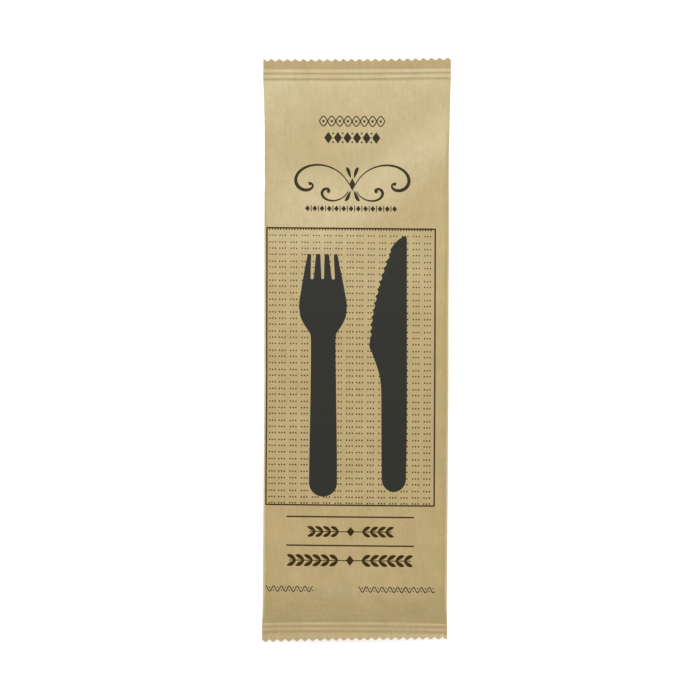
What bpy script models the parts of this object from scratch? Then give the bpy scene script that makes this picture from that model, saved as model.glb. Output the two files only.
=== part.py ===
"""Sealed kraft paper packet for table cutlery, lying on its back seam with its face up.

One web of paper is folded round the contents. Its two edges meet in a fin seam that
is folded flat against the back, and each end is closed by a crimped seal with
pressed ribs, cut off by a zigzag knife. The packet is full and closed, so it is
modelled as one solid. X runs across it, +Y to its top end and +Z up from the table.
"""

import math

import bmesh
import bpy

# Overall sizes, in metres. The length is taken from the corners of the bottom cut to the
# middle of the top cut.
PACKET_LENGTH = 0.2493
TOP_SEAL_WIDTH = 0.0804
BODY_WIDTH = 0.0787
BOTTOM_SEAL_WIDTH = 0.0793
BODY_DEPTH = 0.0088
PAPER_PLY = 0.00012

# The face thins past the full part of the contents, then drops to the empty head. The
# drop runs level across the left half and climbs to the right as the contents lie askew.
# Lengths are from the bottom seal's inner edge.
FULL_LENGTH = 0.1293
THINNING = 0.0016
THINNING_RUN = 0.046
CONTENTS_LENGTH = 0.1568
HEAD_DROP = 0.00285
HEAD_DROP_RUN = 0.036
HEAD_CLIMB = 0.92
HEAD_CLIMB_ROUNDING = 0.012
SIDE_FOLD_HEIGHT = 0.0043
SECTION_FULLNESS = 10.0

# End seals. Heights are those of the seal's middle above the table.
TOP_SEAL_LENGTH = 0.0092
TOP_SEAL_HEIGHT = 0.0028
TOP_SEAL_ARCH = 0.0008
TOP_SEAL_TILT = 0.0006
TOP_SEAL_SLANT = 0.0084
TOP_SEAL_SAG = 0.00024
TOP_EDGE_LIFT = 0.00029
TOP_PULL = 0.022
TOP_SHOULDER = 0.038
TOP_SHOULDER_ROUNDNESS = 1.7
TOP_FLARE = 0.035
BOTTOM_SEAL_LENGTH = 0.0074
BOTTOM_SEAL_HEIGHT = 0.0042
BOTTOM_SEAL_ARCH = 0.0028
BOTTOM_SEAL_BOW = 0.00065
BOTTOM_EDGE_LIFT = 0.00055
BOTTOM_SHOULDER = 0.0178
BOTTOM_FLARE = 0.012

# Ribs pressed across each seal by the crimping jaws.
RIB_COUNT = 2
TOP_RIB_HEIGHT = 0.00030
TOP_RIB_PITCH = 0.00235
BOTTOM_RIB_HEIGHT = 0.00020
BOTTOM_RIB_PITCH = 0.00220

# Zigzag cuts. A start is the distance from the left edge to the first point. A slant is
# the rise across the width, because the knife cut a little askew. A set-back is how far
# the middle of a cut stays behind its corners.
TOOTH_DEPTH = 0.00115
TOP_TOOTH_PITCH = 0.003425
TOP_TOOTH_START = 0.00015
TOP_CUT_SLANT = 0.0104
TOP_CUT_SET_BACK = 0.0003
BOTTOM_TOOTH_PITCH = 0.00337
BOTTOM_TOOTH_START = 0.0015
BOTTOM_CUT_SLANT = 0.0233
BOTTOM_CUT_SET_BACK = 0.00035
KNIFE_OVERRUN = 0.004

# Fin seam down the middle of the back.
FIN_WIDTH = 0.010
FIN_GAP = 0.0003

# Points across the face as parts of the half width, closer together near the folds.
COLUMNS = (0.0, 0.2, 0.4, 0.55, 0.68, 0.78, 0.86, 0.92, 0.965, 1.0)
ROWS_PER_RIB = 8

TOP_END = PACKET_LENGTH / 2
BOTTOM_END = -PACKET_LENGTH / 2
TOP_SEAM = TOP_END - TOP_SEAL_LENGTH
BOTTOM_SEAM = BOTTOM_END + BOTTOM_SEAL_LENGTH
FULL_END = BOTTOM_SEAM + FULL_LENGTH
CONTENTS_TOP = BOTTOM_SEAM + CONTENTS_LENGTH
FIN_THICKNESS = 2 * PAPER_PLY
BACK_HEIGHT = FIN_THICKNESS + FIN_GAP


def clamp(value):
    """Hold a value between 0 and 1."""
    return min(1.0, max(0.0, value))


def ease(value):
    """Go from 0 to 1 with a level start and a level end."""
    step = clamp(value)
    return step * step * (3.0 - 2.0 * step)


def swell(y):
    """How far the packet is blown open at y: 0 in a seal, 1 past both shoulders."""
    top = 1.0 - (1.0 - clamp((TOP_SEAM - y) / TOP_SHOULDER)) ** TOP_SHOULDER_ROUNDNESS
    bottom = math.sin(clamp((y - BOTTOM_SEAM) / BOTTOM_SHOULDER) * math.pi / 2)
    return top * bottom


def half_width(y):
    """Half the width at y. The flat seals are wider than the rounded body."""
    top = (1.0 - clamp((TOP_SEAM - y) / TOP_FLARE)) ** 2
    bottom = (1.0 - clamp((y - BOTTOM_SEAM) / BOTTOM_FLARE)) ** 2
    width = BODY_WIDTH
    width += (TOP_SEAL_WIDTH - BODY_WIDTH) * top
    width += (BOTTOM_SEAL_WIDTH - BODY_WIDTH) * bottom
    return width / 2


def pressed_lift(past_seam, pitch, rib_height, seal_length, edge_lift):
    """Height that a seal's pressed ribs and its curled edge add, at a distance past its seam."""
    ribs = RIB_COUNT * pitch
    if past_seam < 0.0:
        return 0.0
    if past_seam < ribs:
        return rib_height * math.sin(past_seam / pitch * math.pi) ** 2
    return edge_lift * (past_seam - ribs) / (seal_length - ribs)


def seal_height(u, y):
    """Height of the middle of a seal, which arches up between its two corners. The top
    seal also tilts up to the right, with the contents."""
    if y > 0.0:
        lift = pressed_lift(
            y - TOP_SEAM, TOP_RIB_PITCH, TOP_RIB_HEIGHT, TOP_SEAL_LENGTH, TOP_EDGE_LIFT
        )
        return TOP_SEAL_HEIGHT - TOP_SEAL_ARCH * u * u + TOP_SEAL_TILT * u + lift
    lift = pressed_lift(
        BOTTOM_SEAM - y,
        BOTTOM_RIB_PITCH,
        BOTTOM_RIB_HEIGHT,
        BOTTOM_SEAL_LENGTH,
        BOTTOM_EDGE_LIFT,
    )
    return BOTTOM_SEAL_HEIGHT - BOTTOM_SEAL_ARCH * u * u + lift


def face_depth(u, y):
    """Height of the front face along the packet, before it turns down to the folds."""
    x = u * BODY_WIDTH / 2
    climb = HEAD_CLIMB * (math.hypot(x, HEAD_CLIMB_ROUNDING) + x) / 2
    thinned = THINNING * ease((y - FULL_END) / THINNING_RUN)
    dropped = HEAD_DROP * ease((y - CONTENTS_TOP - climb) / HEAD_DROP_RUN)
    return BODY_DEPTH - thinned - dropped


def front_height(u, y):
    """Height of the front face. It falls to the side folds close to its edges."""
    fold = 1.0 - abs(u) ** SECTION_FULLNESS
    opened = SIDE_FOLD_HEIGHT + (face_depth(u, y) - SIDE_FOLD_HEIGHT) * fold
    closed = seal_height(u, y)
    return closed + (opened - closed) * swell(y) + PAPER_PLY * (1.0 - swell(y) * fold)


def back_height(u, y):
    """Height of the back face, which lies flat and turns up to the side folds."""
    fold = 1.0 - abs(u) ** SECTION_FULLNESS
    opened = SIDE_FOLD_HEIGHT + (BACK_HEIGHT - SIDE_FOLD_HEIGHT) * fold
    closed = seal_height(u, y)
    return closed + (opened - closed) * swell(y) - PAPER_PLY * (1.0 - swell(y) * fold)


def place(u, y):
    """Place in plan of a point of a row: the seals bow or slant, the body is straight."""
    bottom_pull = 1.0 - clamp((y - BOTTOM_SEAM) / BOTTOM_SHOULDER)
    top_pull = 1.0 - clamp((TOP_SEAM - y) / TOP_PULL)
    x = u * half_width(y)
    bow = BOTTOM_SEAL_BOW * (1.0 - u * u) * bottom_pull
    lean = (TOP_SEAL_SLANT * x - TOP_SEAL_SAG * (1.0 - u * u) ** 2) * top_pull
    return x, y + bow + lean


def steps(start, end, count):
    """Evenly spaced values from start up to, but without, end."""
    return [start + (end - start) * i / count for i in range(count)]


def row_positions():
    """Places along the packet that get a cross-section, closest together in the ribs."""
    ribs = RIB_COUNT * ROWS_PER_RIB
    top_ribs_end = TOP_SEAM + RIB_COUNT * TOP_RIB_PITCH
    bottom_ribs_end = BOTTOM_SEAM - RIB_COUNT * BOTTOM_RIB_PITCH
    rows = steps(BOTTOM_END - KNIFE_OVERRUN / 2, bottom_ribs_end, 2)
    rows += steps(bottom_ribs_end, BOTTOM_SEAM, ribs)
    rows += steps(BOTTOM_SEAM, BOTTOM_SEAM + BOTTOM_SHOULDER, 8)
    rows += steps(BOTTOM_SEAM + BOTTOM_SHOULDER, FULL_END, 4)
    rows += steps(FULL_END, TOP_SEAM, 34)
    rows += steps(TOP_SEAM, top_ribs_end, ribs)
    rows += steps(top_ribs_end, TOP_END + KNIFE_OVERRUN / 2, 2)
    rows.append(TOP_END + KNIFE_OVERRUN / 2)
    return rows


def loft(name, rings):
    """Skin a row of closed rings into one solid, with a cap on its first and last."""
    shape = bmesh.new()
    loops = [[shape.verts.new(point) for point in ring] for ring in rings]
    for near, far in zip(loops, loops[1:]):
        for a, b, c, d in zip(near, near[1:] + near[:1], far[1:] + far[:1], far):
            shape.faces.new((a, b, c, d))
    shape.faces.new(loops[0])
    shape.faces.new(loops[-1])
    bmesh.ops.recalc_face_normals(shape, faces=shape.faces)
    mesh = bpy.data.meshes.new(name)
    shape.to_mesh(mesh)
    shape.free()
    mesh.shade_smooth()
    mesh.set_sharp_from_angle(angle=math.radians(25))
    piece = bpy.data.objects.new(name, mesh)
    bpy.context.scene.collection.objects.link(piece)
    return piece


def make_packet():
    """Front and back faces of the filled packet, joined along the two side folds."""
    across = [-u for u in reversed(COLUMNS[1:])] + list(COLUMNS)
    rings = []
    for y in row_positions():
        front = [(*place(u, y), front_height(u, y)) for u in across]
        back = [(*place(u, y), back_height(u, y)) for u in across]
        rings.append(front + back[::-1])
    return loft("paper_packet", rings)


def make_fin():
    """Two plies that leave the back, turn over and lie against it, open at one side."""
    left = -FIN_WIDTH / 2
    right = FIN_WIDTH / 2
    rings = []
    for y in row_positions():
        back = back_height(0.0, y)
        gap = FIN_GAP * swell(y) - PAPER_PLY / 4 * (1.0 - swell(y))
        root = back + PAPER_PLY / 2
        inner = back - gap
        outer = inner - FIN_THICKNESS
        turn = FIN_THICKNESS
        outline = [
            (left, root),
            (left, outer + turn / 2),
            (left + turn / 2, outer),
            (right, outer),
            (right, inner),
            (left + turn, inner),
            (left + turn, root),
        ]
        side = half_width(y)
        rings.append([(*place(x / side, y), z) for x, z in outline])
    return loft("fin_seam", rings)


def make_knife(name, end, side, pitch, start, slant, set_back):
    """Block with a zigzag edge that trims a seal. side is +1 for the top end."""
    half = half_width(end)
    edge = []
    tip = -half + start - 2 * pitch
    while tip < half + 2 * pitch:
        for x, depth in ((tip, 0.0), (tip + pitch / 2, TOOTH_DEPTH)):
            behind = depth + set_back * (1.0 - (x / half) ** 2)
            edge.append((x, end - side * behind + slant * x))
        tip += pitch
    outside = end + side * KNIFE_OVERRUN
    outline = edge + [(edge[-1][0], outside), (edge[0][0], outside)]
    rings = [[(x, y, z) for x, y in outline] for z in (-BODY_DEPTH, 2 * BODY_DEPTH)]
    knife = loft(name, rings)
    knife.hide_render = True
    knife.display_type = "WIRE"
    return knife


def combine(piece, other, operation):
    """Join another solid to a piece, or cut it away, with an exact Boolean."""
    modifier = piece.modifiers.new(other.name, "BOOLEAN")
    modifier.operation = operation
    modifier.solver = "EXACT"
    modifier.object = other


def kraft_material():
    """Unbleached kraft paper: warm light brown and matt."""
    material = bpy.data.materials.new("kraft_paper")
    material.use_nodes = True
    shader = material.node_tree.nodes["Principled BSDF"]
    shader.inputs["Base Color"].default_value = (0.55, 0.42, 0.22, 1.0)
    shader.inputs["Roughness"].default_value = 0.85
    shader.inputs["Metallic"].default_value = 0.0
    return material


def build():
    """Model the packet: the filled tube, its fin seam and its two trimmed seals."""
    for old in list(bpy.data.objects):
        bpy.data.objects.remove(old, do_unlink=True)
    packet = make_packet()
    fin = make_fin()
    fin.hide_render = True
    fin.display_type = "WIRE"
    top_knife = make_knife(
        "top_knife",
        TOP_END + TOP_CUT_SET_BACK,
        1.0,
        TOP_TOOTH_PITCH,
        TOP_TOOTH_START,
        TOP_CUT_SLANT,
        TOP_CUT_SET_BACK,
    )
    bottom_knife = make_knife(
        "bottom_knife",
        BOTTOM_END,
        -1.0,
        BOTTOM_TOOTH_PITCH,
        BOTTOM_TOOTH_START,
        BOTTOM_CUT_SLANT,
        BOTTOM_CUT_SET_BACK,
    )
    combine(packet, fin, "UNION")
    combine(packet, top_knife, "DIFFERENCE")
    combine(packet, bottom_knife, "DIFFERENCE")
    packet.data.materials.append(kraft_material())


build()
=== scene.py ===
"""The sealed kraft paper cutlery packet: its paper wrap with crimped, zigzag-cut ends
and a folded back seam, the black print on its face, and the studio round it."""

import math

import bpy
import numpy as np
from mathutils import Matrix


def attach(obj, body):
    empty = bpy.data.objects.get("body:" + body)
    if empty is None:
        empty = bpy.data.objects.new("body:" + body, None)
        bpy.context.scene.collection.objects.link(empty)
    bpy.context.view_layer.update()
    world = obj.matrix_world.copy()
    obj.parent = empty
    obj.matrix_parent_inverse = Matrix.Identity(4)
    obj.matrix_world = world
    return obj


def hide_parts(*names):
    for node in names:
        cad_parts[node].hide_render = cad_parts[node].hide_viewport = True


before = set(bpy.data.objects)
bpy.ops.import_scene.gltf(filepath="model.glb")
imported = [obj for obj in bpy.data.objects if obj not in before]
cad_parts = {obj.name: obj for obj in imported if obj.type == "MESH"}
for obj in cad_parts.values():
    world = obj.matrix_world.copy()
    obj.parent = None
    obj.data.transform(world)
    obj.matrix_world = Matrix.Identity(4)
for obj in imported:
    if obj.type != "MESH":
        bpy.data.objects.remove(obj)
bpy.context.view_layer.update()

# The paper wrap. One web of unbleached kraft paper, lacquered inside so that it seals
# with heat. A forming shoulder folds it into a tube round the cutlery, and ribbed jaws
# press both ends flat while a zigzag knife cuts the packet from the next one.

# Sizes in millimetres, the same as the solid's. The face lies 0.05 mm lower and the
# ends 0.005 mm further in, so that ink and paper stay within the solid.
length = 249.29
top_seal_width, body_width, bottom_seal_width = 80.4, 78.7, 79.3
body_depth = 8.75
ply = 0.12
side_fold_height = 4.3
fin_thickness = 2 * ply
fin_gap = 0.3
top_seal, top_shoulder, top_flare = 9.2, 38.0, 35.0
bottom_seal, bottom_shoulder, bottom_flare = 7.4, 17.8, 12.0
top_rib, bottom_rib, rib_count = 2.35, 2.20, 2
top_end, bottom_end = length / 2, -length / 2
top_seam, bottom_seam = top_end - top_seal, bottom_end + bottom_seal
top_band, bottom_band = top_seam + rib_count * top_rib, bottom_seam - rib_count * bottom_rib
contents_top, contents_thinning, thinning = 12.0, 46.0, 1.6
head_middle, head_drop, head_run = 57.5, 2.85, 36.0
crease_slope, crease_round = 0.46, 12.0
top_seal_height, top_seal_arch = 2.8, 0.8
bottom_seal_height, bottom_seal_arch = 4.2, 2.8
top_bite, bottom_bite = 0.34, 0.175
top_lean, top_sag, lean_run = 0.0084, 0.24, 22.0
bottom_bow = 0.65
# Zigzag cuts: points 1.15 mm deep, on lines that slant and pass the ends by a little,
# because each is set back again between its corners.
tooth_depth = 1.15
top_tooth, bottom_tooth = 3.425, 3.37
top_first_tooth, bottom_first_tooth = -top_seal_width / 2 + 0.15, -bottom_seal_width / 2 + 1.5
top_cut, bottom_cut = top_end + 0.3, bottom_end - 0.165
top_slant, bottom_slant = 0.0104, 0.0190
top_set_back, bottom_set_back = 0.3, 0.35


def held(value):
    """A value held between 0 and 1."""
    return np.clip(value, 0.0, 1.0)


def eased(value):
    """From 0 to 1 with level ends: 3 t squared less 2 t cubed."""
    step = held(value)
    return step * step * (3.0 - 2.0 * step)


def bell(value, middle, reach):
    """A bell round its middle: e to minus the square of the distance over the reach."""
    return np.exp(-(((value - middle) / reach) ** 2))


def swell(y):
    """How far the tube is open at y: 1 between the ends, a power or sine towards them."""
    top = 1.0 - (1.0 - held((top_seam - y) / top_shoulder)) ** 1.7
    bottom = np.sin(held((y - bottom_seam) / bottom_shoulder) * np.pi / 2)
    return top * bottom


def half_width(y):
    """Half the width at y: the body's, plus each seal's extra, which fades as a square."""
    top = (1.0 - held((top_seam - y) / top_flare)) ** 2
    bottom = (1.0 - held((y - bottom_seam) / bottom_flare)) ** 2
    extra = (top_seal_width - body_width) * top + (bottom_seal_width - body_width) * bottom
    return (body_width + extra) / 2


def seal_height(u, y):
    """Middle of a seal: an arch as u squared, which at the top also rises to the right,
    with sine-squared ribs, and past them a shallow groove and an edge that curls up."""
    at_top = y > 0
    turns = np.where(at_top, (y - top_seam) / top_rib, (bottom_seam - y) / bottom_rib)
    ribs = np.where((turns > 0) & (turns < rib_count), np.sin(turns * np.pi) ** 2, 0.0)
    top_rise = 0.4 * u + 0.7 * np.maximum(u, 0.0) ** 2
    top_arch = top_seal_height - top_seal_arch * u * u + top_rise
    arch = np.where(at_top, top_arch, bottom_seal_height - bottom_seal_arch * u * u)
    # The jaws bite a little harder at some places across, and each rib lies lower than
    # the one before it.
    uneven = 1.0 + 0.2 * np.sin(7.0 * u + 1.0) * np.sin(3.1 * u)
    bite = np.where(at_top, top_bite, bottom_bite) * uneven
    tilt = np.where(at_top, -0.05, -0.14 + 0.08 * u * u) * np.clip(turns, 0.0, rib_count)
    past = np.maximum(turns - rib_count, 0.0)
    groove = np.where(at_top, 0.05, 0.0) * bell(turns, rib_count + 0.12, 0.14)
    curl = np.where(at_top, 0.36 - 0.07 * past, 0.33) * past
    return arch + bite * ribs + curl + tilt - groove


# Place, reach and depth of each soft hollow of the empty head.
hollows = [
    (-33.0, 99.0, 7.0, 5.0, 0.12),
    (4.0, 97.0, 15.0, 7.0, 0.12),
    (-23.0, 83.0, 18.0, 18.0, 0.85),
]


def cockle(u, y):
    """Cockling, never above the smooth face: crossed long waves, and soft hollows."""
    x = u * body_width / 2
    waves = np.sin(x / 4.1 + y / 19.0) * np.sin(y / 13.0 - x / 31.0 + 0.6)
    waves += 0.7 * np.sin(x / 7.3 - y / 9.7 + 1.9) * np.sin(y / 23.0 + x / 11.0)
    height = 0.035 * (waves - 1.7)
    for at_x, at_y, reach_x, reach_y, deep in hollows:
        away = ((x - at_x) / reach_x) ** 2 + ((y - at_y) / reach_y) ** 2
        height = height - deep * np.exp(-away)
    return height


def pleats(u, y):
    """Pleats: sines across that run out of each seal and die away as e to the distance,
    two faint presses of the jaws at the bottom, and a short steep slope at the top."""
    x = u * body_width / 2
    fan = np.sin(x * 1.1 + 2.0 * np.sin(x * 0.23)) * (0.6 + 0.4 * np.sin(x * 0.37 + 1.0))
    top = np.maximum(top_seam - y, 0.0)
    bottom = np.maximum(y - bottom_seam, 0.0)
    fade = top / 2.0 * np.exp(1 - top / 2.0) + bottom / 3.0 * np.exp(1 - bottom / 3.0)
    pressed = 0.05 * np.sin(bottom * 2 * np.pi / 2.1) * np.exp(-bottom / 2.4) * (y < 0)
    return 0.05 * fan * fade - pressed - 0.10 * np.exp(-top / 0.9) * (y > 0)


def face_depth(u, y):
    """Face along the packet: it thins past the contents' middle, then drops to the head
    along a line that runs level on the left and bends up to the right, as a hyperbola."""
    x = u * body_width / 2
    thin = thinning * eased((y - contents_top) / contents_thinning)
    bend = crease_slope * (np.sqrt(x * x + crease_round**2) + x)
    drop = eased(0.5 + (y - head_middle - bend) / (head_run - 0.1 * x))
    # The right half gives way a little sooner.
    early = 0.5 * eased(x / 36.0) * eased((y + 10.0) / 75.0)
    return body_depth - thin - early - (head_drop - early) * drop


def rounding(u):
    """How full the section is at u: it slopes gently as a cube, then falls steeply."""
    return 1.0 - 0.35 * np.abs(u) ** 3 - 0.65 * np.abs(u) ** 60


def face_height(u, y):
    """Printed face: along the packet's depth, rounded down to the side folds."""
    fold = rounding(u)
    opening = swell(y)
    opened = side_fold_height + (face_depth(u, y) + cockle(u, y) - side_fold_height) * fold
    closed = seal_height(u, y)
    height = closed + (opened - closed) * opening + ply * (1.0 - opening * fold)
    return height + pleats(u, y) * (1.0 - np.abs(u) ** 4)


def back_height(u, y):
    """Back face: level on the table, rounded up to the side folds."""
    fold = rounding(u)
    opening = swell(y)
    level = fin_thickness + fin_gap
    opened = side_fold_height + (level - side_fold_height) * fold
    closed = seal_height(u, y)
    return closed + (opened - closed) * opening - ply * (1.0 - opening * fold)


def cut_line(u, x, first, pitch, end, slant, outward, set_back):
    """Zigzag cut: a triangle wave on an askew line, set back between the corners by an
    arch as u squared."""
    back = np.abs((x - first) / pitch - np.round((x - first) / pitch)) * 2.0
    behind = tooth_depth * back + set_back * (1.0 - u * u)
    return end + slant * x - outward * behind


def seal_bow(u, y):
    """How far the bottom seal bows up in its middle, as u squared, fading upwards."""
    return bottom_bow * (1.0 - u * u) * (1.0 - held((y - bottom_seam) / bottom_shoulder))


def seal_lean(u, x, y):
    """How far the top seal slants up to the right, and sags in its middle as the square
    of one less u squared, both fading downwards."""
    closing = 1.0 - held((top_seam - y) / lean_run)
    return (top_lean * x - top_sag * (1.0 - u * u) ** 2) * closing


def plan(u, y):
    """Place in plan: seals bow or slant, and the last rows reach out to the zigzag."""
    x = u * half_width(y)
    # The left fold has a small nick, and both folds wander where the body is fullest.
    nick = 0.22 * bell(y, 71.0, 2.2) * np.where(u < 0, u**20, 0.0)
    drift = 0.04 + 0.26 * bell(y, -18.0, 26.0) + 0.05 * np.sin(y / 14.0)
    fuller = bell(y, 50.0, 22.0) + bell(y, 103.0, 12.0)
    drift = drift + (0.1 + 0.15 * fuller) * (u > 0)
    x = x + nick + drift * np.abs(u) ** 8 * swell(y)
    bow, lean = seal_bow(u, y), seal_lean(u, x, y)
    # Past its last rib each seal runs evenly out to its zigzag cut.
    start, pitch = top_first_tooth, top_tooth
    top = cut_line(u, x, start, pitch, top_cut, top_slant, 1.0, top_set_back)
    band = top_band + lean
    reach = held((y - top_band) / (top_end - top_band))
    along = np.where(y > top_band, band + (top - band) * reach, y + bow + lean)
    start, pitch = bottom_first_tooth, bottom_tooth
    bottom = cut_line(u, x, start, pitch, bottom_cut, bottom_slant, -1.0, bottom_set_back)
    band = bottom_band + bow
    reach = held((bottom_band - y) / (bottom_band - bottom_end))
    return x, np.where(y < bottom_band, band + (bottom - band) * reach, along)


def rows_along():
    """Places along the packet, closest together where the ribs and shoulders bend."""
    stops = [
        (bottom_end, bottom_band, 5),
        (bottom_band, bottom_seam, 28),
        (bottom_seam, bottom_seam + 6.0, 30),
        (bottom_seam + 6.0, bottom_seam + bottom_shoulder, 16),
        (bottom_seam + bottom_shoulder, contents_top, 84),
        (contents_top, top_seam - top_shoulder, 60),
        (top_seam - top_shoulder, top_seam, 44),
        (top_seam, top_band, 28),
        (top_band, top_band + 1.2, 10),
        (top_band + 1.2, top_end, 5),
    ]
    pieces = [np.linspace(a, b, n, endpoint=False) for a, b, n in stops]
    return np.concatenate(pieces + [np.array([top_end])])


def make_mesh(name, points, quads):
    """A mesh object from points in millimetres, facing outwards, with crisp folds."""
    mesh = bpy.data.meshes.new(name)
    mesh.from_pydata((points / 1000.0).tolist(), [], quads.tolist())
    mesh.update()
    mesh.shade_smooth()
    mesh.set_sharp_from_angle(angle=math.radians(40))
    piece = bpy.data.objects.new(name, mesh)
    bpy.context.scene.collection.objects.link(piece)
    return piece


def ringed(name, rings):
    """Skin rings (row, point, xyz) and cap both ends by pairing the points across."""
    rows, count = rings.shape[:2]
    i, j = np.meshgrid(np.arange(rows - 1), np.arange(count), indexing="ij")
    k = (j + 1) % count
    sides = [i * count + j, i * count + k, (i + 1) * count + k, (i + 1) * count + j]
    near = np.arange(count // 2 - 1)
    cap = np.stack([near, count - 1 - near, count - 2 - near, near + 1], -1)
    last = cap[:, ::-1] + (rows - 1) * count
    quads = np.concatenate([np.stack(sides, -1).reshape(-1, 4), cap, last])
    return make_mesh(name, rings.reshape(-1, 3), quads[:, ::-1])


# Columns stand a quarter of a tooth apart, so that every point and root of both cuts
# falls on one.
columns = np.arange(95)
top_x = top_first_tooth + columns * top_tooth / 4
bottom_x = bottom_first_tooth + (columns - 2) * bottom_tooth / 4
top_u = np.clip(top_x / (top_seal_width / 2), -1.0, 1.0)
bottom_u = np.clip(bottom_x / (bottom_seal_width / 2), -1.0, 1.0)
top_u[[0, -1]] = bottom_u[[0, -1]] = -1.0, 1.0
# The folds bend sharply, so three more columns stand in each of the outer three gaps.
close = np.arange(0.0, 3.0, 0.25)
stations = np.concatenate([close, columns[3:-3], columns[-1] - close[::-1]])
top_u, bottom_u = np.interp(stations, columns, top_u), np.interp(stations, columns, bottom_u)
y_rows = rows_along()[:, None]
along_share = (y_rows - bottom_end) / length
u_grid = bottom_u + (top_u - bottom_u) * along_share
y_grid = np.broadcast_to(y_rows, u_grid.shape)
plan_x, plan_y = plan(u_grid, y_grid)
front = np.stack([plan_x, plan_y, face_height(u_grid, y_grid)], -1)
back = np.stack([plan_x, plan_y, back_height(u_grid, y_grid)], -1)
# Each side fold turns over through two more points, 0.08 mm further out than the plies.
fold_round = np.array([0.08, 0.0, 0.0])
lift = np.array([0.0, 0.0, ply / 3])
middle = (front + back) / 2
front[:, 0] += fold_round
front[:, -1] -= fold_round
back[:, 0] += fold_round
back[:, -1] -= fold_round
over = np.concatenate([middle[:, :1] + lift, front, middle[:, -1:] + lift], axis=1)
under = np.concatenate([middle[:, :1] - lift, back, middle[:, -1:] - lift], axis=1)
paper_wrap = ringed("paper_wrap", np.concatenate([over, under[:, ::-1]], axis=1))


def linear(code):
    """A linear colour from an sRGB hex code, by the standard's two-part curve."""
    parts = [int(code[i : i + 2], 16) / 255 for i in (1, 3, 5)]
    return (*[p / 12.92 if p < 0.04045 else ((p + 0.055) / 1.055) ** 2.4 for p in parts], 1.0)


def add(tree, kind, inputs=(), **settings):
    """Add a node, set its properties, and set or link its inputs."""
    node = tree.nodes.new(kind)
    for name, value in settings.items():
        setattr(node, name, value)
    for socket, value in dict(inputs).items():
        if isinstance(value, bpy.types.NodeSocket):
            tree.links.new(value, node.inputs[socket])
        else:
            node.inputs[socket].default_value = value
    return node


# Kraft paper, machine-finished: long soft-wood fibres laid mostly along the web give
# fine upright streaks, uneven formation gives clouds, and bark specks give dark flecks.
# Its smooth side has a slight sheen towards the light.
kraft = bpy.data.materials.new("kraft_paper_machine_finished")
kraft.use_nodes = True
tree = kraft.node_tree
paper_shader = tree.nodes["Principled BSDF"]
place = add(tree, "ShaderNodeTexCoord").outputs["Object"]
mm = add(tree, "ShaderNodeMapping", {"Vector": place, "Scale": (1000.0, 1000.0, 1000.0)})
mm = mm.outputs["Vector"]
# Clouds about 9 mm across, blotches about 2.5 mm across.
clouds = add(tree, "ShaderNodeTexNoise", {"Vector": mm, "Scale": 0.11, "Detail": 3.0})
blotches = add(tree, "ShaderNodeTexNoise", {"Vector": mm, "Scale": 0.4, "Detail": 4.0})
hues = add(tree, "ShaderNodeTexNoise", {"Vector": mm, "Scale": 0.16, "Detail": 2.0})
# Fibre streaks 0.7 mm wide and about 9 mm long, coarser than real fibres so they show.
upright = add(tree, "ShaderNodeMapping", {"Vector": mm, "Scale": (1.4, 0.11, 1.4)})
streak_inputs = {"Vector": upright.outputs[0], "Scale": 1.0, "Detail": 3.0}
streaks = add(tree, "ShaderNodeTexNoise", streak_inputs)
# Single fibres 0.35 mm wide, lying at a slant.
slant_inputs = {"Vector": mm, "Rotation": (0.0, 0.0, 0.6), "Scale": (2.8, 0.6, 2.8)}
slanting = add(tree, "ShaderNodeMapping", slant_inputs)
fibre_inputs = {"Vector": slanting.outputs[0], "Scale": 1.0, "Detail": 2.0}
fibres = add(tree, "ShaderNodeTexNoise", fibre_inputs)
# Bark specks up to 0.4 mm, far apart.
specks = add(tree, "ShaderNodeTexNoise", {"Vector": mm, "Scale": 1.6, "Detail": 1.0})
shade = add(tree, "ShaderNodeValToRGB", {"Fac": clouds.outputs["Fac"]})
shade.color_ramp.elements[0].position = 0.30
shade.color_ramp.elements[0].color = linear("#B69E6E")
shade.color_ramp.elements[1].position = 0.72
shade.color_ramp.elements[1].color = linear("#C0A678")
# Some clouds lean to green and some to pink.
hue_inputs = {"Factor": hues.outputs["Fac"], "A": linear("#F4FFF2"), "B": linear("#FFF6EC")}
hue = add(tree, "ShaderNodeMix", hue_inputs, data_type="RGBA")

# The paper is tinted a little warmer over the panel than towards its ends.
# Heat and pressure leave the paper of the seals denser and a shade browner.
along_web = add(tree, "ShaderNodeSeparateXYZ", {"Vector": mm}).outputs["Y"]
bands = {}
for band, start, end, at_start, at_end in (
    ("above", 40.0, 75.0, 1.0, 0.0),
    ("below", -114.0, -102.0, 0.0, 1.0),
    ("top", top_band - 0.5, top_band + 0.8, 0.0, 1.0),
    ("bottom", bottom_seam - 1.0, bottom_seam + 1.0, 1.0, 0.0),
):
    limits = {"From Min": start, "From Max": end, "To Min": at_start, "To Max": at_end}
    band_range = add(tree, "ShaderNodeMapRange", {"Value": along_web, **limits})
    bands[band] = band_range.outputs["Result"]
warm = add(tree, "ShaderNodeMath", {0: bands["above"], 1: bands["below"]}, operation="MULTIPLY")
pressed = add(tree, "ShaderNodeMath", {0: bands["top"], 1: bands["bottom"]}, operation="ADD")
tints = [
    (1.0, hue.outputs["Result"]),
    (warm.outputs[0], linear("#FBF6ED")),
    (pressed.outputs[0], linear("#F8F2EF")),
]
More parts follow.
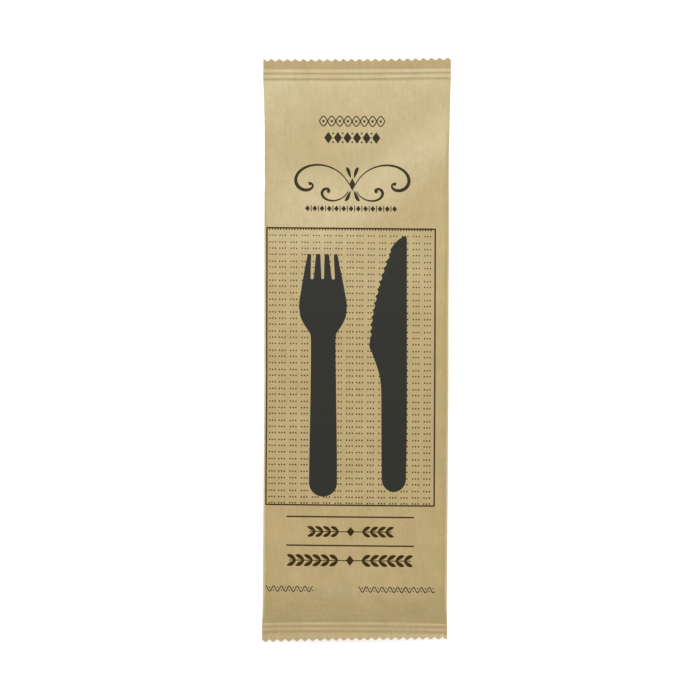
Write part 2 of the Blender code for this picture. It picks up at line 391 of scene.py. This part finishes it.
# Each pattern tints the paper from its middling values up, to a share of its own.
for pattern, low, high, most, tint in (
    (streaks, 0.42, 0.62, 0.14, "#D8C39C"),
    (blotches, 0.45, 0.70, 0.12, "#D9C8A4"),
    (fibres, 0.56, 0.70, 0.20, "#C9AF82"),
    (specks, 0.74, 0.78, 0.35, "#8B6A3E"),
):
    limits = {"From Min": low, "From Max": high, "To Max": most}
    share = add(tree, "ShaderNodeMapRange", {"Value": pattern.outputs["Fac"], **limits})
    tints.append((share.outputs["Result"], linear(tint)))
tone = shade.outputs["Color"]
for share, tint in tints:
    tint_inputs = {"Factor": share, "A": tone, "B": tint}
    tinted = add(tree, "ShaderNodeMix", tint_inputs, data_type="RGBA", blend_type="MULTIPLY")
    tone = tinted.outputs["Result"]
tree.links.new(tone, paper_shader.inputs["Base Color"])
# The calendered side is smoothest between the blotches.
limits = {"From Min": 0.3, "From Max": 0.7, "To Min": 0.33, "To Max": 0.40}
paper_rough = add(tree, "ShaderNodeMapRange", {"Value": blotches.outputs["Fac"], **limits})
tree.links.new(paper_rough.outputs["Result"], paper_shader.inputs["Roughness"])
paper_shader.inputs["Specular IOR Level"].default_value = 0.78
fibre_heights = {0: streaks.outputs["Fac"], 1: fibres.outputs["Fac"]}
grain = add(tree, "ShaderNodeMath", fibre_heights, operation="ADD")
bump_inputs = {"Strength": 0.35, "Distance": 0.00005, "Height": grain.outputs[0]}
paper_bump = add(tree, "ShaderNodeBump", bump_inputs)
tree.links.new(paper_bump.outputs["Normal"], paper_shader.inputs["Normal"])
paper_wrap.data.materials.append(kraft)
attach(paper_wrap, "root")
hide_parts("paper_packet")


# The back seam. The web's two edges are sealed inside to inside as a fin 10 mm wide,
# folded to one side and laid flat against the back. The end jaws press it into both
# seals, and the packet lies on it.
fin_left, fin_right = -5.0, 5.0
# Both sides come down from the back at the left, turn over within 0.6 mm and run across.
fin_run = np.linspace(fin_left + 0.6, fin_right, 24)
outer_x = np.concatenate([[fin_left, fin_left, fin_left + 0.1], fin_run])
inner_x = np.concatenate([[fin_left + fin_thickness] * 2, [fin_left + 3 * ply], fin_run])
outer_drop = np.concatenate([[0.0, 0.6, 1.0], np.ones(len(fin_run))])
inner_drop = np.concatenate([[0.0, 0.7, 1.0], np.ones(len(fin_run))])


def fin_side(x, drop, thickness):
    """One side of the fin: the back's height, less the gap and plies times drop."""
    y = np.broadcast_to(y_rows, (len(y_rows), len(x)))
    u = x / half_width(y)
    open_gap = fin_gap * swell(y) - ply / 4 * (1.0 - swell(y))
    root = back_height(np.zeros_like(y), y) + ply / 2
    z = root - (ply / 2 + open_gap + thickness) * drop
    px, py = plan(u, y)
    return np.stack([px, py, z], -1)


fin_outer = fin_side(outer_x, outer_drop, fin_thickness)
fin_inner = fin_side(inner_x, inner_drop, 0.0)
back_seam = ringed("back_seam", np.concatenate([fin_inner, fin_outer[:, ::-1]], axis=1))
back_seam.data.materials.append(kraft)
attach(back_seam, "root")
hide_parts("paper_packet")


# The print on the face: one pass of black flexographic ink. Its first part is the
# picture panel, a thin frame round a ground of fine dots in threes. The ink is a film
# that follows the paper, drawn 0.03 mm proud of it and sunk as deep into it.
# The plate ran askew on the web by 0.0058 mm in each millimetre. The last of the print
# bows with the bottom seal, 39.5 mm to either side of its middle.
print_slant, seal_half = 0.0058, 39.5
ink_sunk = 0.03


def ink_place(p, q, proud):
    """Place on the paper of print point (p, q), from the plate's left to right and foot
    to head: its u and y on the web, then the wrap's surface there."""
    along = q - print_slant * p
    y = along - seal_bow(p / seal_half, along)
    u = p / half_width(y)
    x, plan_y_of_ink = plan(u, y)
    return np.stack([x, plan_y_of_ink, face_height(u, y) + proud], -1)


def lay_ink(name, patches, film, proud=0.03):
    """Closed films over grids of print points, shaped (copies, rows, columns, p q)."""
    points, quads, used = [], [], 0
    for patch in patches:
        copies, rows, cols = patch.shape[:3]
        top = ink_place(patch[..., 0], patch[..., 1], proud)
        bottom = ink_place(patch[..., 0], patch[..., 1], -ink_sunk)
        both = np.stack([top, bottom], 1).reshape(copies, -1, 3)
        at = np.arange(rows * cols).reshape(rows, cols)
        low = at + rows * cols
        face = np.stack([at[:-1, :-1], at[:-1, 1:], at[1:, 1:], at[1:, :-1]], -1).reshape(-1, 4)
        rim = np.concatenate([at[0, :-1], at[:-1, -1], at[-1, :0:-1], at[:0:-1, 0]])
        after = np.roll(rim, -1)
        wall = np.stack([rim, rim + rows * cols, after + rows * cols, after], -1)
        one = np.concatenate([face, face[:, ::-1] + low[0, 0], wall])
        first = used + np.arange(copies)[:, None, None] * both.shape[1]
        # A patch that runs the other way round is turned over.
        edge_p, edge_q = patch[0, 0, 1] - patch[0, 0, 0], patch[0, 1, 0] - patch[0, 0, 0]
        if edge_p[0] * edge_q[1] - edge_p[1] * edge_q[0] < 0:
            one = one[:, ::-1]
        quads.append((first + one[None]).reshape(-1, 4))
        points.append(both.reshape(-1, 3))
        used += copies * both.shape[1]
    piece = make_mesh(name, np.concatenate(points), np.concatenate(quads))
    piece.data.materials.append(film)
    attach(piece, "root")
    return piece


def stroke(path, width):
    """A line of ink: points either side of a path, by half its width at each place."""
    ahead = np.gradient(path, axis=-2)
    ahead = ahead / np.linalg.norm(ahead, axis=-1, keepdims=True)
    across = np.stack([-ahead[..., 1], ahead[..., 0]], -1) * np.asarray(width)[..., None] / 2
    return np.stack([path + across, path, path - across], axis=-2)


def straight(start, end, width, count):
    """A straight line of ink of even width."""
    share = np.linspace(0.0, 1.0, count)[:, None]
    path = np.asarray(start) + (np.asarray(end) - np.asarray(start)) * share
    return stroke(path, np.full(count, width))[None]


def flexographic_ink(name, dark, light, sheen):
    """A thin water-based ink, mottled between two shades, with pinholes of bare paper."""
    ink = bpy.data.materials.new(name)
    ink.use_nodes = True
    tree = ink.node_tree
    shader = tree.nodes["Principled BSDF"]
    place = add(tree, "ShaderNodeTexCoord").outputs["Object"]
    mm = add(tree, "ShaderNodeMapping", {"Vector": place, "Scale": (1000.0, 1000.0, 1000.0)})
    mm = mm.outputs["Vector"]
    # Mottle about 1.2 mm across, and pinholes about 0.3 mm across.
    mottle = add(tree, "ShaderNodeTexNoise", {"Vector": mm, "Scale": 0.8, "Detail": 4.0})
    pinholes = add(tree, "ShaderNodeTexNoise", {"Vector": mm, "Scale": 3.0, "Detail": 2.0})
    coverage = add(tree, "ShaderNodeValToRGB", {"Fac": mottle.outputs["Fac"]})
    coverage.color_ramp.elements[0].position = 0.35
    coverage.color_ramp.elements[0].color = linear(dark)
    coverage.color_ramp.elements[1].position = 0.70
    coverage.color_ramp.elements[1].color = linear(light)
    limits = {"From Min": 0.72, "From Max": 0.80, "To Max": 0.3}
    bare = add(tree, "ShaderNodeMapRange", {"Value": pinholes.outputs["Fac"], **limits})
    shades = {"A": coverage.outputs["Color"], "B": linear("#8F7A52")}
    tone_inputs = {"Factor": bare.outputs["Result"], **shades}
    tone = add(tree, "ShaderNodeMix", tone_inputs, data_type="RGBA")
    tree.links.new(tone.outputs["Result"], shader.inputs["Base Color"])
    limits = {"From Min": 0.3, "From Max": 0.7, "To Min": 0.55, "To Max": 0.68}
    rough = add(tree, "ShaderNodeMapRange", {"Value": mottle.outputs["Fac"], **limits})
    tree.links.new(rough.outputs["Result"], shader.inputs["Roughness"])
    shader.inputs["Specular IOR Level"].default_value = sheen
    bump_inputs = {"Strength": 0.25, "Distance": 0.00004, "Height": pinholes.outputs["Fac"]}
    bump = add(tree, "ShaderNodeBump", bump_inputs)
    tree.links.new(bump.outputs["Normal"], shader.inputs["Normal"])
    return ink


# Flexographic black on kraft: charcoal and not jet black, slightly uneven because the
# paper drinks it, with a dull sheen. Fine lines and dots carry a thinner film that sinks
# in: the kraft shows through and turns it brown, and it has hardly any sheen. Lines of
# middling width lie between the two.
solid_ink = flexographic_ink("flexographic_ink_charcoal_matt", "#1E1C12", "#242217", 0.28)
middling_ink = flexographic_ink("flexographic_ink_umber_matt", "#302612", "#382E1A", 0.14)
fine_ink = flexographic_ink("flexographic_ink_thin_film_brown", "#36260A", "#3E2E10", 0.06)

frame_left, frame_right, frame_top, frame_bottom = -38.2, 33.65, 51.75, -66.4
line = 0.62
frame_lines = [
    ((frame_left, frame_top), (frame_right, frame_top)),
    ((frame_left, frame_bottom), (frame_right, frame_bottom)),
    ((frame_left, frame_bottom - line / 2), (frame_left, frame_top + line / 2)),
    ((frame_right, frame_bottom - line / 2), (frame_right, frame_top + line / 2)),
]
lay_ink("printed_frame", [straight(a, b, line, 140) for a, b in frame_lines], fine_ink)

# The printed ground of dots: 0.58 by 0.68 mm, 1.19 mm apart in threes, in rows 2.72 mm
# apart that lie a little uneven. Each seventh gap between threes is narrower, because
# the plate's pattern repeats there. A comb of single dots hangs from the frame's top.
dot_step, row_step, repeat = 1.19, 2.718, 33.04
threes = np.concatenate([[0.0], 4.17 + 4.81 * np.arange(6)])
dot_p = (-36.8 + repeat * np.arange(3)[:, None, None] + threes[:, None]) + dot_step * np.arange(3)
dot_p = np.sort(dot_p.ravel())
dot_p = dot_p[dot_p < frame_right - 0.3]
row = np.arange(43)
dot_q = 48.46 - row_step * row + 0.13 * np.where(row % 2 == 0, 1.0, -1.0) * np.sin(row * 0.9 + 1.2)
grid_p, grid_q = np.meshgrid(dot_p, dot_q)
comb_p = np.arange(frame_left + 1.2, frame_right - 0.6, dot_step)
dot_p = np.concatenate([grid_p.ravel(), comb_p])
dot_q = np.concatenate([grid_q.ravel(), np.full(len(comb_p), frame_top - 0.55)])
number = np.arange(len(dot_p))
dot_p = dot_p + 0.05 * np.sin(number * 12.9)
dot_q = dot_q + 0.05 * np.sin(number * 78.2)
square_s, square_t = np.meshgrid([-1.0, 0.0, 1.0], [-1.0, 0.0, 1.0])
inward = np.where(np.abs(square_s * square_t) > 0.5, 0.7071, 1.0)
disc = np.stack([square_s * inward, square_t * inward], -1)


def spots(p, q, half_wide, half_high):
    """Filled ovals at many places: one small disc, stretched and moved."""
    size = np.stack([half_wide * np.ones_like(p), half_high * np.ones_like(p)], -1)
    return disc[None] * size[:, None, None, :] + np.stack([p, q], -1)[:, None, None, :]


grow = 1.0 + 0.12 * np.sin(number * 37.7)
lay_ink("printed_dots", [spots(dot_p, dot_q, 0.29 * grow, 0.34 * grow)], fine_ink, proud=0.025)


# The printed fork: a plain four-tine outline, filled in solid. The head is widest at
# its shoulders, and the handle swells to a half-round end.
def curve(at, places, values):
    """Smooth line through a few sizes: cubic between them, level where it turns."""
    places, values = np.array(places), np.array(values)
    step = np.diff(places)
    rise = np.diff(values) / step
    both = rise[1:] * rise[:-1]
    inner = np.where(both > 0, 2 * both / (rise[1:] + rise[:-1] + (both <= 0)), 0.0)
    slope = np.concatenate([rise[:1], inner, rise[-1:]])
    i = np.clip(np.searchsorted(places, at) - 1, 0, len(step) - 1)
    t = (at - places[i]) / step[i]
    start, end = slope[i] * step[i], slope[i + 1] * step[i]
    gap = values[i + 1] - values[i]
    return values[i] + t * start + t**2 * (3 * gap - 2 * start - end) + t**3 * (start + end - 2 * gap)


fork_foot, fork_tip = -62.8, 40.6
handle_round, tip_round = 5.97, 0.45
head_foot, slot_floor = 24.0, 30.5
half_places = [-63.0, -48.0, -20.0, 3.0, 5.7, 10.8, 14.5, 18.4, 26.1, 41.0]
half_sizes = [6.0, 5.9, 5.48, 5.25, 5.35, 8.26, 9.8, 10.2, 9.09, 6.25]


def fork_axis(q):
    """Middle of the fork: straight, then leaning a little to the left as a square."""
    return -13.75 - 0.62 * held((q + 35.0) / 72.0) ** 2


def fork_half(q):
    """Half width at q, with the handle's half-round end."""
    end = held((fork_foot + handle_round - q) / handle_round)
    return curve(q, half_places, half_sizes) * np.sqrt(np.maximum(1.0 - end * end, 1e-4))


def slot_side(q, slot, side):
    """Edge of a slot: its middle and width both change evenly from floor to tip."""
    share = (q - slot_floor) / (fork_tip - slot_floor)
    centre = slot * (4.5 - 0.72 * share)
    return centre + side * (0.55 + 0.13 * abs(slot) + 0.37 * share)


# The handle, from its round end up to the head.
turn = np.linspace(0.0, np.pi / 2, 16)
handle_end = fork_foot + handle_round * (1 - np.cos(turn))
handle_q = np.concatenate([handle_end, np.linspace(-56.0, head_foot, 150)])
handle_share = np.linspace(-1.0, 1.0, 49)
low_q = np.broadcast_to(handle_q[:, None], (len(handle_q), len(handle_share)))
fork_low = np.stack([fork_axis(low_q) + handle_share * fork_half(low_q), low_q], -1)
# Columns of the head gather at the three round slot floors, where the top edge dips.
edge_half = fork_half(np.array(slot_floor))
slots, rounds = np.array([-4.5, 0.0, 4.5]), np.array([0.68, 0.55, 0.68])
floor_round = np.sin(np.linspace(-np.pi / 2, np.pi / 2, 15))
stops = np.stack([slots - rounds, slots + rounds], -1).ravel()
stops = np.concatenate([[-edge_half], stops, [edge_half]])
runs = [np.linspace(a, b, 6) for a, b in stops.reshape(-1, 2)]
arcs = [slot + radius * floor_round[1:-1] for slot, radius in zip(slots, rounds)]
top_columns = np.concatenate([runs[0], arcs[0], runs[1], arcs[1], runs[2], arcs[2], runs[3]])
near = np.abs(top_columns[:, None] - slots)
dip = np.sqrt(np.maximum(rounds**2 - near**2, 0.0)).max(axis=1)
head_rise = np.linspace(0.0, 1.0, 14)[:, None]
high_q = head_foot + head_rise * (slot_floor - dip - head_foot)
head_side = top_columns / edge_half * fork_half(high_q)
fork_high = np.stack([fork_axis(high_q) + head_side, high_q], -1)
# The four tines, each between two edges, with both corners of its tip rounded.
tine_shaft = np.linspace(slot_floor, fork_tip - tip_round, 24)
tine_tip = fork_tip - tip_round * (1 - np.sin(turn[1:]))
tine_q = np.concatenate([tine_shaft, tine_tip])
into_tip = held((tine_q - fork_tip + tip_round) / tip_round)
corner = tip_round * (1 - np.sqrt(np.maximum(1 - into_tip**2, 0.0)))
tine_edges = [
    (-fork_half(tine_q), slot_side(tine_q, -1, -1)),
    (slot_side(tine_q, -1, 1), slot_side(tine_q, 0, -1)),
    (slot_side(tine_q, 0, 1), slot_side(tine_q, 1, -1)),
    (slot_side(tine_q, 1, 1), fork_half(tine_q)),
]
tine_share = np.linspace(0.0, 1.0, 5)
tines = []
for left, right in tine_edges:
    left, right = (left + corner)[:, None], (right - corner)[:, None]
    tine_p = fork_axis(tine_q)[:, None] + left + (right - left) * tine_share
    tines.append(np.stack([tine_p, np.broadcast_to(tine_q[:, None], tine_p.shape)], -1)[None])
lay_ink("printed_fork", [fork_low[None], fork_high[None], *tines], solid_ink, proud=0.04)


# The printed knife: a straight spine, a rounded point, a serrated edge that swells
# down to the heel, and a handle with a half-round end, filled in solid.
knife_foot, knife_tip, knife_round = -60.5, 48.6, 5.2
edge_places = [-61.0, -46.0, -18.0, -12.6, -2.0, 2.0, 9.6, 19.0, 30.4, 39.1, 44.0, 46.9, 48.6]
edge_sizes = [11.4, 11.15, 10.9, 10.45, 7.2, 5.7, 6.0, 7.4, 10.2, 13.1, 15.35, 17.75, 20.2]
spine_places = [-61.0, -55.0, -30.0, 20.0, 48.6]
spine_sizes = [21.4, 21.62, 21.9, 21.72, 21.6]
knife_q = np.concatenate(
    [
        knife_foot + knife_round * (1 - np.cos(turn)),
        np.linspace(-55.0, 2.0, 90),
        np.arange(2.15, 42.3, 0.15),
        np.linspace(42.4, knife_tip, 40),
    ]
)


def knife_edge(q):
    """Left edge through its sizes, cut by serrations 3 mm apart with cusped points."""
    teeth = 0.85 * np.abs(np.sin(np.pi * (q - 1.9) / 3.0))
    fade = held((q - 2.5) / 3.0) * held((42.8 - q) / 1.5)
    return curve(q, edge_places, edge_sizes) + teeth * fade


spine = curve(knife_q, spine_places, spine_sizes)
spine = spine - 0.5 * held((knife_q - 47.6) / 1.0) ** 2
edge_line = np.minimum(knife_edge(knife_q), spine - 0.05)
end = held((knife_foot + knife_round - knife_q) / knife_round)
squeeze = np.sqrt(np.maximum(1.0 - end * end, 1e-4))
middle_line = (edge_line + spine) / 2
half_blade = (spine - edge_line) / 2 * squeeze
blade_share = np.linspace(-1.0, 1.0, 17)
knife_p = middle_line[:, None] + half_blade[:, None] * blade_share
knife_grid = np.stack([knife_p, np.broadcast_to(knife_q[:, None], knife_p.shape)], -1)
lay_ink("printed_knife", [knife_grid[None]], solid_ink, proud=0.04)


# Two thin rules under the panel, as wide as the frame's lines. They are printed in the
# same pass, from the thin film that fine lines carry.
rules = [straight((-29.3, q), (25.1, q), line, 90) for q in (-71.4, -83.65)]
lay_ink("printed_rules", rules, fine_ink)


# Borders and a scroll, printed in the same black: plain ornament in bands, with the
# heavy bands built from lozenges and leaves and the light ones from fine lines.
def lozenges(p, q, half_wide, half_high):
    """Filled diamonds at many places: a square grid turned through 45 degrees."""
    s, t = np.meshgrid([-1.0, 0.0, 1.0], [-1.0, 0.0, 1.0])
    diamond = np.stack([(s - t) / 2, (s + t) / 2], -1)
    size = np.array([half_wide, half_high])
    return diamond[None] * size + np.stack([p, q], -1)[:, None, None, :]


def leaves(p, q, reach_p, reach_q, width, count=9):
    """Filled leaves: from a foot along a bent stalk, as wide as a sine half wave."""
    t = np.linspace(0.02, 0.98, count)
    path_p = p[:, None] + reach_p[:, None] * t
    path_q = q[:, None] + reach_q[:, None] * np.sin(t * np.pi / 2)
    return stroke(np.stack([path_p, path_q], -1), width * np.sin(np.pi * t) ** 0.8)


def across_band(left, right, step):
    """Even places along a band, centred in it."""
    count = int((right - left) // step) + 1
    return (left + right) / 2 + step * (np.arange(count) - (count - 1) / 2)


def braid(left, right, q, half_high, wave, width):
    """Two sine lines of ink in opposite phase, crossing at every half wave."""
    p = np.linspace(left, right, 160)
    swing = half_high * np.sin((p - left) / wave * 2 * np.pi)
    lines = [np.stack([p, q + swing], -1), np.stack([p, q - swing], -1)]
    return [stroke(path, np.full(160, width))[None] for path in lines]


wave = 28.0 / 4
beads = across_band(-16.0 + wave / 4, 12.0 - wave / 4, wave / 2)
light_q, heavy_q = 97.75, 90.6
light_band = braid(-16.0, 12.0, light_q, 2.15, wave, 0.45)
light_band.append(spots(beads, np.full(len(beads), light_q), 0.55, 0.55))
bold = across_band(-12.2, 8.4, 4.1)
gaps = (bold[1:] + bold[:-1]) / 2
heavy_band = [lozenges(bold, np.full(len(bold), heavy_q), 1.75, 2.5)]
bead_q = heavy_q + np.tile([1.9, -1.9], len(gaps))
heavy_band.append(spots(np.repeat(gaps, 2), bead_q, 0.42, 0.42))
lay_ink("printed_top_bands", light_band + heavy_band, middling_ink)

# The scroll: a log spiral each side of a lozenge, with a smaller one under it turning
# the other way, leaves between them and a bead in each eye.
scroll_p, scroll_q = -1.8, 70.6


def volute(centre_p, centre_q, reach, turns, lift, side, thick):
    """Log spiral into an eye: the radius falls as e to the angle, the line swells."""
    t = np.linspace(0.0, 1.0, 110)
    angle = np.pi - lift * turns * 2 * np.pi * t
    radius = reach * np.exp(-3.1 * t)
    path_p = scroll_p + side * (centre_p + radius * np.cos(angle))
    path_q = scroll_q + centre_q + 0.82 * radius * np.sin(angle)
    width = 0.42 + thick * np.sin(np.pi * held(t * 1.15)) ** 1.5
    return stroke(np.stack([path_p, path_q], -1), width)[None]


scroll = []
eyes_p, eyes_q = [], []
for side in (-1, 1):
    scroll.append(volute(18.6, 0.0, 17.2, 1.3, 1, side, 1.05))
    scroll.append(volute(10.4, -3.0, 8.6, 1.2, -1, side, 0.8))
    eyes_p += [scroll_p + side * 18.0, scroll_p + side * 10.2]
    eyes_q += [scroll_q + 0.2, scroll_q - 3.0]
leaf_side = np.array([-1.0, 1.0, -1.0, 1.0])
leaf_foot = scroll_p + 0.7 * leaf_side
leaf_rise = np.array([4.6, 4.6, -4.4, -4.4])
leaf_reach = leaf_side * np.array([2.0, 2.0, 2.6, 2.6])
leaf_q = scroll_q + np.array([2.6, 2.6, -2.6, -2.6])
scroll.append(leaves(leaf_foot, leaf_q, leaf_reach, leaf_rise, 1.5))
scroll.append(lozenges(np.array([scroll_p]), np.array([scroll_q]), 1.4, 2.8))
scroll.append(spots(np.array(eyes_p), np.array(eyes_q), 0.75, 0.75))
lay_ink("printed_scroll", scroll, middling_ink)

# A fine border under the scroll, printed with it: small lozenges 3.1 mm apart, and an
# upright between each two.
fine_q = 60.2
fine = across_band(-21.0, 16.4, 3.1)
posts = (fine[1:] + fine[:-1]) / 2
fine_band = [lozenges(fine, np.full(len(fine), fine_q), 1.05, 1.3)]
fine_band += [straight((p, fine_q - 1.3), (p, fine_q + 1.3), 0.38, 6) for p in posts]
lay_ink("printed_fine_band", fine_band, middling_ink)


# Two garlands, one between the rules and one under them. They are printed like the
# rules, with filled leaves on a fine stalk.
def garland(left, right, q, step, half_high, width):
    """Leaves in pairs along a fine stalk, from both ends towards a rosette between."""
    middle = (left + right) / 2
    reach = (right - left) / 2
    feet = np.arange(reach - step * 1.1, 2.0, -step)
    side = np.repeat([-1.0, 1.0], len(feet))
    foot = middle + side * np.tile(feet, 2)
    patches = [straight((left + 1.0, q), (right - 1.0, q), 0.4, 40)]
    for lift in (-1.0, 1.0):
        outward = side * step * 1.1
        rise = np.full(len(foot), lift * half_high)
        patches.append(leaves(foot, np.full(len(foot), q), outward, rise, width))
    patches.append(lozenges(np.array([middle]), np.array([q]), 1.7, half_high * 1.05))
    return patches


upper_garland = garland(-20.4, 16.6, -77.7, 3.3, 1.95, 1.5)
lower_garland = garland(-29.1, 24.8, -90.0, 3.6, 2.15, 1.65)
lay_ink("printed_upper_garland", upper_garland, fine_ink)
lay_ink("printed_lower_garland", lower_garland, fine_ink)


# Two fine waves in the packet's bottom corners, the last of the print, with a bead in
# each bay.
def running_wave(left, right, q, half_high, wave, width):
    """A sine line of ink with a bead in each of its bays."""
    p = np.linspace(left, right, 200)
    line_of_ink = np.stack([p, q + half_high * np.cos((p - left) / wave * 2 * np.pi)], -1)
    bays = np.arange(left + wave / 2, right, wave / 2)
    up = np.where(np.arange(len(bays)) % 2 == 0, 1.0, -1.0)
    beads = spots(bays, q + up * half_high * 0.55, 0.3, 0.3)
    return [stroke(line_of_ink, np.full(200, width))[None], beads]


corner_bands = [
    patch
    for left, right in ((-38.0, -17.9), (1.6, 34.0))
    for patch in running_wave(left, right, -102.3, 1.15, 3.35, 0.4)
]
lay_ink("printed_corner_bands", corner_bands, fine_ink)


# The studio: a white table top lit evenly from below, a white surround, and a broad soft
# light from beyond the packet's top end. The camera looks straight down from 1.5 m.
scene = bpy.context.scene
table_half, table_level = 3.0, -0.0002
table_corners = [(-1, -1), (1, -1), (1, 1), (-1, 1)]
table_points = [(a * table_half, b * table_half, table_level) for a, b in table_corners]
table_mesh = bpy.data.meshes.new("table_top")
table_mesh.from_pydata(table_points, [], [(0, 1, 2, 3)])
table_top = bpy.data.objects.new("table_top", table_mesh)
scene.collection.objects.link(table_top)
card = bpy.data.materials.new("white_studio_card")
card.use_nodes = True
card_shader = card.node_tree.nodes["Principled BSDF"]
card_shader.inputs["Base Color"].default_value = linear("#F9F9F9")
card_shader.inputs["Roughness"].default_value = 0.9
card_shader.inputs["Specular IOR Level"].default_value = 0.1
# Lit from below like a light table, which takes the edge off the shadow.
card_shader.inputs["Emission Color"].default_value = (1.0, 1.0, 1.0, 1.0)
card_shader.inputs["Emission Strength"].default_value = 0.45
table_mesh.materials.append(card)

surround = bpy.data.worlds.new("white_surround")
surround.use_nodes = True
surround_light = surround.node_tree.nodes["Background"]
surround_light.inputs["Color"].default_value = (1.0, 1.0, 1.0, 1.0)
surround_light.inputs["Strength"].default_value = 0.535
scene.world = surround


def soft_light(name, wide, deep, watts, colour, place):
    """A rectangular soft light, tipped about X by its own angle to face the packet."""
    lamp = bpy.data.lights.new(name, "AREA")
    lamp.shape = "RECTANGLE"
    lamp.size, lamp.size_y = wide, deep
    lamp.energy = watts
    lamp.color = colour
    stand = bpy.data.objects.new(name, lamp)
    stand.location = place
    stand.rotation_euler = (-math.atan2(place[1], place[2]), 0.0, 0.0)
    scene.collection.objects.link(stand)


soft_light("softbox", 2.4, 1.0, 23.6, (0.90, 1.0, 1.03), (-0.2, 0.81, 1.26))
# A small, faint and cooler light from beyond the bottom end lifts the slopes that turn
# away from the softbox.
soft_light("fill_card", 0.5, 0.5, 1.0, (0.85, 1.0, 1.3), (0.0, -0.54, 1.40))

# The lens makes one pixel of a picture 700 wide cover 0.4281 mm at the packet, which
# lies a little off the picture's middle and a quarter of a degree askew.
view_distance, pixel_covers, picture_width = 1.5, 0.0004281, 700
view = bpy.data.cameras.new("overhead")
view.sensor_width = 36.0
view.lens = view.sensor_width * view_distance / (picture_width * pixel_covers)
overhead = bpy.data.objects.new("overhead", view)
overhead.location = (-0.00248, -0.00016, view_distance + 0.003)
overhead.rotation_euler = (0.0, 0.0, math.radians(0.25))
scene.collection.objects.link(overhead)
scene.camera = overhead
scene.view_settings.view_transform = "Standard"
scene.view_settings.look = "None"
